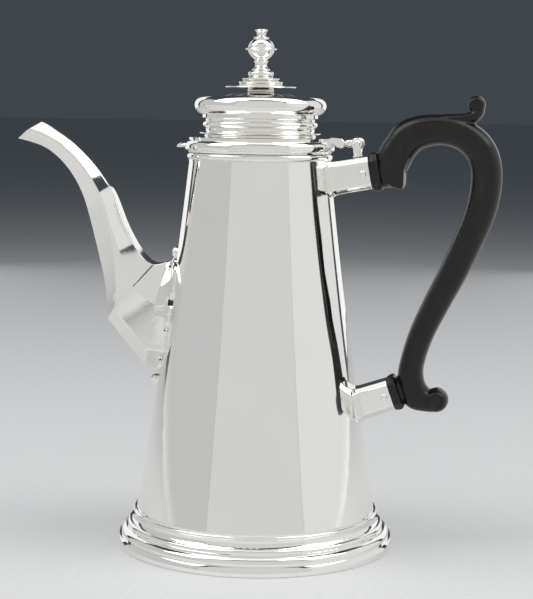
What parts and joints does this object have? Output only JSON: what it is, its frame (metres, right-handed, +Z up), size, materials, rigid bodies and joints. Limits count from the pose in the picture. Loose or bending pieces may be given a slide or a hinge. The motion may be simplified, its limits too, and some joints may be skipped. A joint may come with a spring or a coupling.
{
  "type": "coffee pot",
  "caption": "Tall tapered coffee pot with a stepped foot, faceted spout, scroll handle in two sockets and a hinged domed lid with a turned finial.",
  "frame": {"origin": "centre of the foot's resting ring, on the surface that the pot stands on", "axes": "+Z up along the pot's axis, +X towards the handle, -X towards the spout, +Y to the right when looking from the spout to the handle"},
  "size_m": [0.2058, 0.1182, 0.2173],
  "materials": {
    "silver": "polished",
    "ebony": "satin"
  },
  "bodies": {
    "pot": {"body_wall": "silver", "body_floor": "silver", "foot_moulding": "silver", "foot_rim_band": "silver", "body_rim_moulding": "silver", "spout": "silver", "spout_plate": "silver", "spout_drop": "silver", "upper_socket": "silver", "upper_socket_plate": "silver", "lower_socket": "silver", "lower_socket_plate": "silver", "handle_pin_upper": "silver", "handle_pin_lower": "silver", "hinge_post": "silver", "hinge_pin": "silver", "handle": "ebony"},
    "lid": {"lid_flange": "silver", "lid_neck": "silver", "lid_dome": "silver", "lid_bezel": "silver", "thumb_tab": "silver", "lid_hinge_arm": "silver", "finial_plate": "silver", "finial": "silver", "finial_washer": "silver", "finial_nut": "silver"}
  },
  "joints": [
    {"name": "lid_hinge", "type": "hinge", "parent": "pot", "child": "lid", "pos_m": [0.0412, 0, 0.1704], "axis": [0, 1, 0], "range_deg": [0, 100]}
  ]
}
